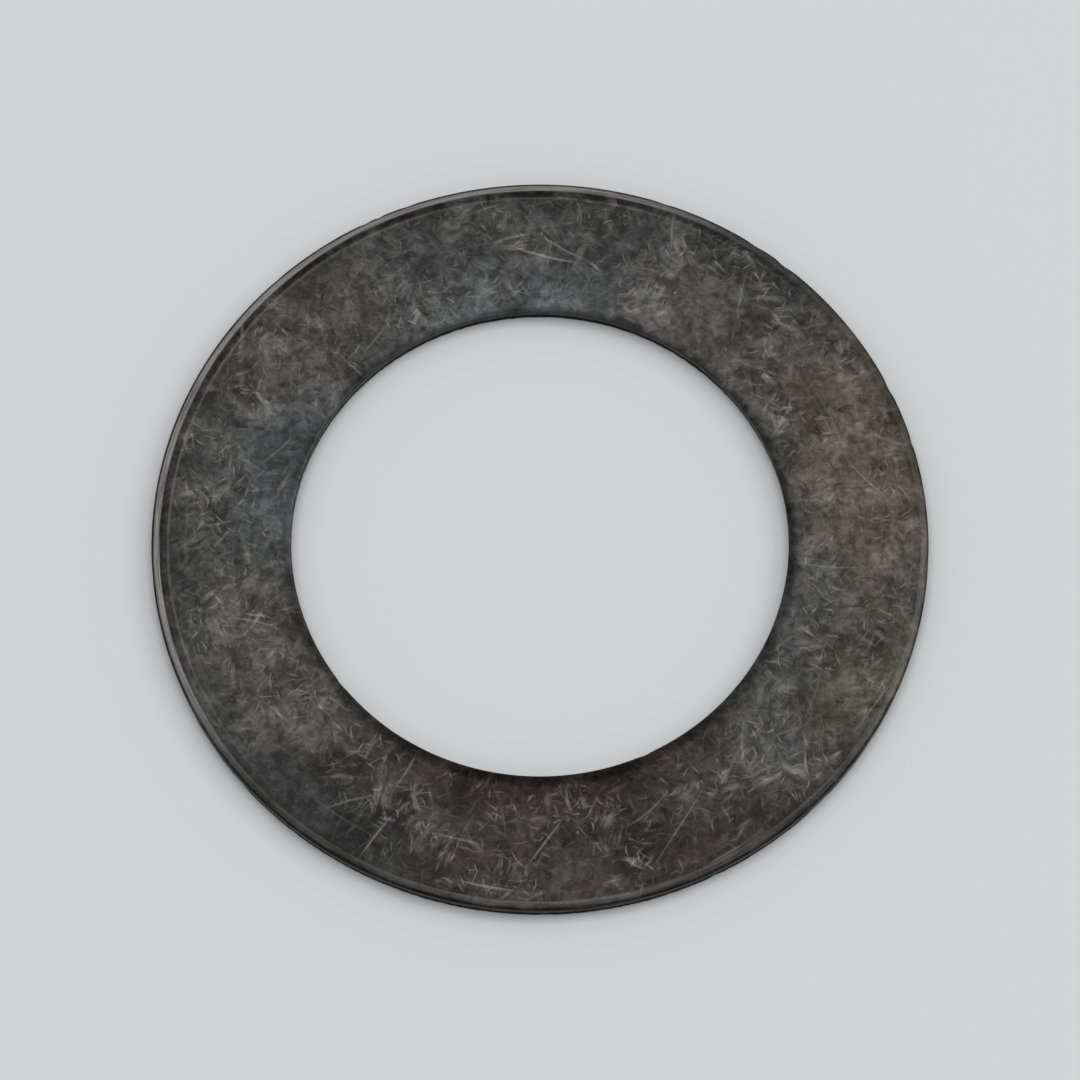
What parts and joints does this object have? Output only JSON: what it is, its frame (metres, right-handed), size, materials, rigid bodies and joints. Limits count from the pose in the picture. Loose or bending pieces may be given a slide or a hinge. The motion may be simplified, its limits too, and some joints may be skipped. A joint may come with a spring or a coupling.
{
  "type": "flat washer",
  "caption": "Thin round flat washer, stamped from black-oxide sheet steel, with a plain centre hole that takes a five-eighths inch or 16 mm shank.",
  "frame": {"origin": "on the bore's axis, in the plane of the lower face, which is the burr side that the washer lies on", "axes": "+Z along the axis, out of the upper face, which is the side with the rounded edges; X and Y are any two square directions in the lower face"},
  "size_m": [0.0254, 0.0254, 0.0008],
  "materials": {
    "black_oxide_steel": "black oxide over rolled sheet steel, satin with a trace of oil, scuffed by tumbling"
  },
  "bodies": {
    "root": {"washer": "black_oxide_steel"}
  },
  "joints": []
}
